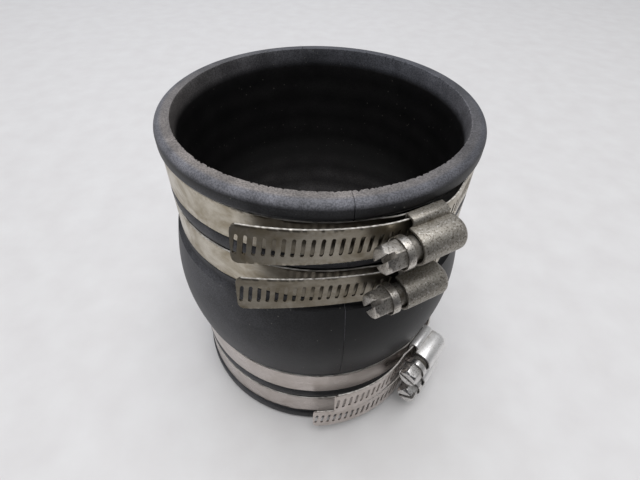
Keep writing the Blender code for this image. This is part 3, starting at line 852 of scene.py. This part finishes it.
# Housing: X outwards from the sleeve, Y along the screw, Z along the sleeve --------------------


def extrude_end(bm, face):
    """Extrudes a section's end face. Returns the new end face and its points."""
    covered = len(face.edges[0].link_faces) > 1
    made = bmesh.ops.extrude_face_region(bm, geom=[face])["geom"]
    if covered and face.is_valid:
        bm.faces.remove(face)
    moved = [v for v in made if isinstance(v, bmesh.types.BMVert)]
    return next(f for f in made if isinstance(f, bmesh.types.BMFace)), moved


def tunnel_mesh(out, radius, foot, front, dome_depth):
    """A half round over the screw with straight sides down to its foot and a domed back."""
    bm = bmesh.new()
    section = [(foot, -radius), (foot, radius)]
    section += [
        (out + radius * math.sin(a), radius * math.cos(a))
        for a in np.linspace(0, math.pi, ARCH_STEPS + 1)
    ]
    face = bm.faces.new([bm.verts.new((x, -front, z)) for x, z in section])
    about = Matrix.Translation((-out, 0, 0))
    steps = [(ARCH_BACK - DOME_DEPTH + front, 1.0)]
    size, reached = 1.0, 0.0
    for angle in np.linspace(0, math.radians(84), DOME_STEPS + 1)[1:]:
        steps.append((dome_depth * math.sin(angle) - reached, math.cos(angle) / size))
        size, reached = math.cos(angle), dome_depth * math.sin(angle)
    for step, scale in steps:
        face, moved = extrude_end(bm, face)
        bmesh.ops.translate(bm, verts=moved, vec=(0, step, 0))
        bmesh.ops.scale(bm, verts=moved, vec=(scale, 1, scale), space=about)
    bmesh.ops.recalc_face_normals(bm, faces=bm.faces)
    return mesh_from(bm, "tunnel")


def base_mesh(low, high, front, back, half, corner):
    """The housing's foot, with its two long outer edges bent round."""
    bm = bmesh.new()
    bm.from_mesh(box_mesh((low, -front, -half), (high, back, half)))
    outer = [e for e in bm.edges if all(v.co.x > high - TINY for v in e.verts)]
    outer = [e for e in outer if abs(e.verts[0].co.z - e.verts[1].co.z) < TINY]
    bevel(bm, outer, corner, 6)
    return mesh_from(bm, "base")


def housing_mesh(out):
    high = SADDLE_INNER + BASE_HEIGHT
    wall = HOUSING_WALL
    half = HOUSING_HALF_WIDTH
    outside = boolean(
        base_mesh(SADDLE_INNER, high, BASE_FRONT, BASE_BACK, half, SHOULDER_ROUND),
        "UNION",
        tunnel_mesh(out, ARCH_RADIUS, high - wall / 2, ARCH_FRONT, DOME_DEPTH),
    )
    inside = boolean(
        base_mesh(0.05, high - wall, 0.02, 0.02, half - wall, SHOULDER_ROUND - wall),
        "UNION",
        tunnel_mesh(out, ARCH_RADIUS - wall, 0.055, 0.02, DOME_DEPTH - wall),
    )
    mesh = boolean(outside, "DIFFERENCE", inside)
    bm = bmesh.new()
    bm.from_mesh(mesh)
    bmesh.ops.remove_doubles(bm, verts=bm.verts, dist=TINY)
    bmesh.ops.dissolve_limit(
        bm, angle_limit=math.radians(0.5), verts=bm.verts, edges=bm.edges, use_dissolve_boundaries=False
    )
    corners = [e for e in bm.edges if len(e.link_faces) == 2 and e.calc_face_angle() > 0.7]
    bevel(bm, corners, HOUSING_EDGE_ROUND, 2)
    bmesh.ops.triangulate(bm, faces=[f for f in bm.faces if len(f.verts) > 4])
    return mesh_from(bm, "housing")


def housing_grime_and_shade(points):
    """Painted shade in the crease beside the arch, low on the foot and on the lower side, over a light
    grime all over, in the clamp's own frame.
    """
    x, y, z = points.T
    crease = SADDLE_INNER + BASE_HEIGHT
    near = np.exp(-(np.hypot(np.abs(z) - ARCH_RADIUS, x - crease) / 0.0007) ** 2)
    low = np.clip((SADDLE_INNER + 0.0012 - x) / 0.0012, 0, 1)
    under = np.clip((-z - 0.002) / 0.004, 0, 1) * 0.35
    return np.clip(near * 0.9 + low * 0.7 + under + 0.12, 0, 1)


def add_housing(name, place, out, material):
    mesh = housing_mesh(out)
    grime = housing_grime_and_shade(points_of(mesh))
    mesh.transform(place)
    smooth(mesh, 32)
    write_attribute(mesh, "grime", grime)
    names = (f"{name}_clamp", "housing_steel", f"{name}_housing")
    finish_piece(f"{name}_housing", mesh, material, *names)


# Screw: along Z with its head at the top -------------------------------------------------------


def turned_blank():
    """The screw's round parts: core, neck, and a collar dished round the hexagon."""
    tip = -THREAD_BACK - 0.0008
    dish = COLLAR_HIGH - 0.0008
    profile = [(0, tip), (CORE_RADIUS - 0.0005, tip), (CORE_RADIUS, tip + 0.0005)]
    profile += [(CORE_RADIUS, THREAD_FRONT), (NECK_RADIUS, THREAD_FRONT + 0.0003)]
    profile += [(NECK_RADIUS, COLLAR_LOW), (COLLAR_RADIUS - 0.0003, COLLAR_LOW)]
    profile += [(COLLAR_RADIUS, COLLAR_LOW + 0.0003)]
    profile += arc(COLLAR_RADIUS - 0.00012, COLLAR_HIGH - 0.00012, 0.00012, 0, 90, 3)
    profile += [(COLLAR_RADIUS - 0.00026, COLLAR_HIGH - 0.00004)]
    profile += [(COLLAR_RADIUS - 0.0004, dish + 0.0003), (COLLAR_RADIUS - 0.0007, dish), (0, dish)]
    bm = bmesh.new()
    verts = [bm.verts.new((r, 0, z)) for r, z in profile]
    edges = [bm.edges.new(pair) for pair in zip(verts, verts[1:])]
    turn_round(bm, verts + edges, TURNED_STEPS)
    return mesh_from(bm, "blank")


def turn_round(bm, geom, steps):
    bmesh.ops.spin(
        bm,
        geom=geom,
        axis=(0, 0, 1),
        cent=(0, 0, 0),
        angle=2 * math.pi,
        steps=steps,
        use_merge=True,
    )
    bmesh.ops.remove_doubles(bm, verts=bm.verts, dist=TINY)
    bmesh.ops.recalc_face_normals(bm, faces=bm.faces)


def hexagon_mesh():
    """The hexagon with rolled corners, its end faced off on a cone."""
    bm = bmesh.new()
    low = COLLAR_HIGH - 0.0012
    corner = HEX_FLATS / math.sqrt(3)
    middle = Matrix.Translation((0, 0, (low + HEAD_HIGH) / 2))
    bmesh.ops.create_cone(
        bm,
        cap_ends=True,
        segments=6,
        radius1=corner,
        radius2=corner,
        depth=HEAD_HIGH - low,
        matrix=middle @ Matrix.Rotation(math.pi / 6, 4, "Z"),
    )
    upright = [e for e in bm.edges if abs(e.verts[0].co.z - e.verts[1].co.z) > TINY]
    bevel(bm, upright, 0.0003, 2)
    prism = mesh_from(bm, "hexagon")
    bm = bmesh.new()
    profile = [(0, low - 0.001), (corner + 0.001, low - 0.001), (corner + 0.001, HEAD_HIGH - 0.0018)]
    profile += [(HEX_FLATS / 2 + 0.0001, HEAD_HIGH - 0.0007)]
    profile += arc(HEX_FLATS / 2 - 0.0007, HEAD_HIGH - 0.0006, 0.0006, 35, 90, 4) + [(0, HEAD_HIGH)]
    verts = [bm.verts.new((r, 0, z)) for r, z in profile]
    edges = [bm.edges.new(pair) for pair in zip(verts, verts[1:])]
    turn_round(bm, verts + edges, TURNED_STEPS)
    return boolean(prism, "INTERSECT", mesh_from(bm, "facing"))


def thread_mesh():
    bm = bmesh.new()
    turns = (THREAD_BACK + THREAD_FRONT) / SLOT_PITCH - 1
    steps = round(turns * THREAD_STEPS)
    sunk = CORE_RADIUS - THREAD_SINK
    section = [
        (sunk, -THREAD_ROOT / 2),
        (THREAD_RADIUS, -THREAD_CREST / 2),
        (THREAD_RADIUS, THREAD_CREST / 2),
        (sunk, THREAD_ROOT / 2),
    ]
    start = -THREAD_BACK + SLOT_PITCH / 2
    face = bm.faces.new([bm.verts.new((r, 0, start + z)) for r, z in section])
    bmesh.ops.spin(
        bm,
        geom=[face],
        axis=(0, 0, 1),
        cent=(0, 0, 0),
        dvec=(0, 0, turns * SLOT_PITCH / steps),
        angle=turns * 2 * math.pi,
        steps=steps,
    )
    bmesh.ops.recalc_face_normals(bm, faces=bm.faces)
    return mesh_from(bm, "thread")


def screw_mesh():
    mesh = boolean(turned_blank(), "UNION", thread_mesh())
    mesh = boolean(mesh, "UNION", hexagon_mesh())
    low = (-2 * COLLAR_RADIUS, -DRIVER_SLOT_WIDTH / 2, HEAD_HIGH - DRIVER_SLOT_DEPTH)
    high = (2 * COLLAR_RADIUS, DRIVER_SLOT_WIDTH / 2, HEAD_HIGH + DRIVER_SLOT_DEPTH)
    mesh = boolean(mesh, "DIFFERENCE", box_mesh(low, high))
    bm = bmesh.new()
    bm.from_mesh(mesh)
    bmesh.ops.remove_doubles(bm, verts=bm.verts, dist=TINY)
    slot_edges = [
        e
        for e in bm.edges
        if len(e.link_faces) == 2
        and min(v.co.z for v in e.verts) > COLLAR_HIGH
        and e.calc_face_angle() > 0.6
    ]
    bevel(bm, slot_edges, HEAD_EDGE_ROUND, 2)
    bmesh.ops.triangulate(bm, faces=[f for f in bm.faces if len(f.verts) > 4])
    return mesh_from(bm, "screw")


def screw_grime_and_shade(points):
    """Painted shade in the driver slot, in the collar's dish and behind the collar, over a light grime all
    over.
    """
    x, y, z = points.T
    radius = np.hypot(x, y)
    in_slot = (np.abs(y) < DRIVER_SLOT_WIDTH / 2 + 0.00002) * (z < HEAD_HIGH - 0.0004)
    in_slot = in_slot * (z > COLLAR_HIGH)
    dish = (radius < COLLAR_RADIUS - 0.0003) * (z < COLLAR_HIGH - 0.0003) * (z > COLLAR_LOW)
    behind = z < COLLAR_LOW + 0.0001
    return np.clip(in_slot * 0.8 + dish * 0.9 + behind * 0.9 + 0.10, 0, 1)


def add_screw(name, clamp, place, out, material):
    mesh = screw_mesh()
    grime = screw_grime_and_shade(points_of(mesh))
    lay = Matrix.Translation((out, 0, 0)) @ Matrix.Rotation(math.pi / 2, 4, "X")
    turn = Matrix.Rotation(math.radians(clamp["turn"]), 4, "Z")
    mesh.transform(place @ lay @ turn)
    smooth(mesh, 30)
    write_attribute(mesh, "grime", grime)
    finish_piece(f"{name}_screw", mesh, material, f"{name}_screw", "screw_steel", f"{name}_screw")


# Making ---------------------------------------------------------------------------------------

strip = {
    "weathered": rolled_strip(
        "rolled_stainless_strip_weathered", "#cdc6b8", "#8f8062", 0.85, 0.75, 0.27, 0.44
    ),
    "bright": rolled_strip(
        "rolled_stainless_strip_bright", "#cfc6c1", "#a1968c", 0.4, 0.45, 0.22, 0.34
    ),
}
pressed = {
    "weathered": worked_steel(
        "pressed_stainless_weathered", "#aca79e", "#5f584a", "#635c53", "#ebe9e5", 0.44, 0.60, 0.7
    ),
    "bright": worked_steel(
        "pressed_stainless_bright", "#f6f5f4", "#b3afa9", "#d6d3cf", "#fcfcfb", 0.36, 0.48, 0.10
    ),
}
headed = {
    "weathered": worked_steel(
        "headed_steel_weathered", "#cbc6be", "#4c463c", "#6b645b", "#f2f0ec", 0.28, 0.46, 0.5
    ),
    "bright": worked_steel(
        "headed_steel_bright", "#dcdad8", "#5c5750", "#989490", "#edecea", 0.20, 0.34, 0.2
    ),
}

add_sleeve(moulded_rubber())
for joint in frame["joints"]:
    name = joint["name"].removesuffix("_screw_spin")
    if name not in CLAMPS:
        continue
    clamp = CLAMPS[name]
    screw_place = Vector(joint["pos_m"])
    away = (screw_place - AXIS).xy
    centre = Matrix.Translation((AXIS.x, AXIS.y, screw_place.z))
    place = centre @ Matrix.Rotation(math.atan2(away.y, away.x), 4, "Z")
    wear = clamp["wear"]
    add_band(name, clamp, place, strip[wear])
    add_housing(name, place, away.length, pressed[wear])
    add_screw(name, clamp, place, away.length, headed[wear])
    saddle = frame["nodes"][f"{name}_saddle"]
    # An even darkening over the whole saddle
    write_attribute(saddle.data, "grime", np.full(len(saddle.data.vertices), 0.3))
    saddle.data.materials.clear()
    saddle.data.materials.append(pressed[wear])

# Floor, lights and camera -----------------------------------------------------------------------

FLOOR_HALF = 3.0
CARD_HALF = 0.35
CARD_PLACE = (0.03, -0.22, 0.352)
CAMERA_LENS = 23.07
CAMERA_BACK = 0.137216
CAMERA_HIGH = 0.195303
CAMERA_PITCH, CAMERA_YAW, CAMERA_ROLL = (math.radians(a) for a in (44.116, 0.427, 1.619))

floor_bm = bmesh.new()
bmesh.ops.create_grid(floor_bm, x_segments=1, y_segments=1, size=FLOOR_HALF)
bmesh.ops.translate(floor_bm, verts=floor_bm.verts, vec=(0, 0, cad_low.z - 0.0002))
floor_mesh = mesh_from(floor_bm, "floor")
floor_mesh.materials.append(floor_board())
floor = bpy.data.objects.new("floor", floor_mesh)
bpy.context.scene.collection.objects.link(floor)


def add_light(name, place, aim, width, depth, watts, colour):
    data = bpy.data.lights.new(name, "AREA")
    data.shape = "RECTANGLE"
    data.size, data.size_y = width, depth
    data.energy = watts
    data.color = linear(colour)[:3]
    made = bpy.data.objects.new(name, data)
    bpy.context.scene.collection.objects.link(made)
    made.location = place
    made.rotation_mode = "QUATERNION"
    made.rotation_quaternion = (Vector(aim) - Vector(place)).to_track_quat("-Z", "Y")


add_light("ceiling_panel", (0.0, -0.22, 1.9), (0, 0, 0.05), 1.5, 1.5, 30, "#fdfdff")
add_light("rear_window", (-0.5, 2.2, 1.9), (0, 0, 0.1), 2.2, 1.4, 14, "#eaf0ff")

# A dark card behind and above the camera, seen only in what the metal's front faces reflect
card_bm = bmesh.new()
bmesh.ops.create_grid(card_bm, x_segments=1, y_segments=1, size=CARD_HALF)
bmesh.ops.rotate(card_bm, verts=card_bm.verts, matrix=Matrix.Rotation(math.pi / 2, 3, "X"))
bmesh.ops.translate(card_bm, verts=card_bm.verts, vec=CARD_PLACE)
card_mesh = mesh_from(card_bm, "dark_card")
card_mesh.materials.append(dark_cloth())
card = bpy.data.objects.new("dark_card", card_mesh)
bpy.context.scene.collection.objects.link(card)
card.visible_camera = card.visible_diffuse = card.visible_shadow = False

world = bpy.data.worlds.new("room")
world.use_nodes = True
world.node_tree.nodes["Background"].inputs["Color"].default_value = linear("#f0f1f3")
world.node_tree.nodes["Background"].inputs["Strength"].default_value = 0.38
bpy.context.scene.world = world
bpy.context.scene.view_settings.view_transform = "Standard"

camera_data = bpy.data.cameras.new("camera")
camera_data.sensor_width = 36
camera_data.lens = CAMERA_LENS
camera_data.clip_start = 0.01
camera = bpy.data.objects.new("camera", camera_data)
bpy.context.scene.collection.objects.link(camera)
camera.location = (AXIS.x, AXIS.y - CAMERA_BACK, CAMERA_HIGH)
camera.rotation_mode = "QUATERNION"
look = Matrix.Rotation(-CAMERA_YAW, 3, "Z") @ Matrix.Rotation(math.pi / 2 - CAMERA_PITCH, 3, "X")
camera.rotation_quaternion = (look @ Matrix.Rotation(CAMERA_ROLL, 3, "Z")).to_quaternion()
bpy.context.scene.camera = camera

bpy.context.view_layer.update()
